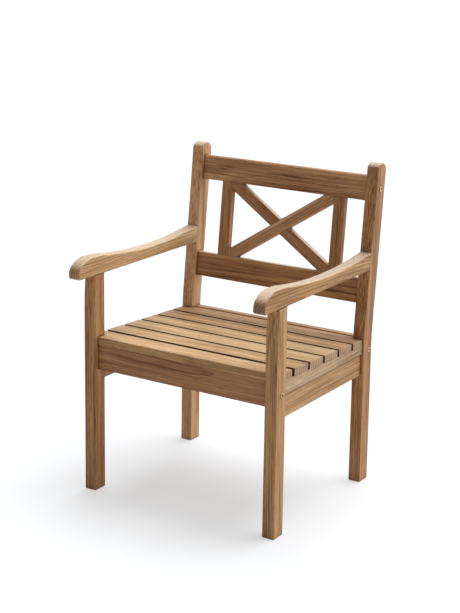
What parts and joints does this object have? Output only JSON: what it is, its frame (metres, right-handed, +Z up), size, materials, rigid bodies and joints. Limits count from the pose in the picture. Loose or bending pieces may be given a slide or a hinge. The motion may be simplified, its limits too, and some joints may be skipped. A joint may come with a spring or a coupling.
{
  "type": "garden armchair",
  "caption": "Outdoor wooden armchair: slatted seat, level arms with rounded noses and a raked back with crossed braces between stiles, bolted and tenoned frame.",
  "frame": {"origin": "on the floor, in the middle of the chair's outline across and from front to back", "axes": "+Z up; +X to the right of a viewer who faces the chair; +Y from the front of the seat to the back"},
  "size_m": [0.5874, 0.6057, 0.868],
  "materials": {
    "teak": "sanded, lightly oiled",
    "brass": "plain turned",
    "zinc_steel": "zinc plated",
    "stainless_steel": "plain",
    "dowel_hardwood": "raw, turned"
  },
  "bodies": {
    "root": {"arm_dowels": "dowel_hardwood", "arm_left": "teak", "arm_right": "teak", "back_stile_left": "teak", "back_stile_right": "teak", "barrel_nuts": "zinc_steel", "bearer_dowels": "dowel_hardwood", "brace_dowels": "dowel_hardwood", "connector_bolts": "brass", "cross_brace_front": "teak", "cross_brace_rear": "teak", "front_apron": "teak", "front_leg_left": "teak", "front_leg_right": "teak", "locating_dowels": "dowel_hardwood", "lower_back_rail": "teak", "rear_post_left": "teak", "rear_post_right": "teak", "rear_seat_rail": "teak", "seat_bearer_left": "teak", "seat_bearer_right": "teak", "seat_slat_1": "teak", "seat_slat_2": "teak", "seat_slat_3": "teak", "seat_slat_4": "teak", "seat_slat_5": "teak", "seat_slat_6": "teak", "side_rail_left": "teak", "side_rail_right": "teak", "slat_screws": "stainless_steel", "top_rail": "teak"}
  },
  "joints": []
}
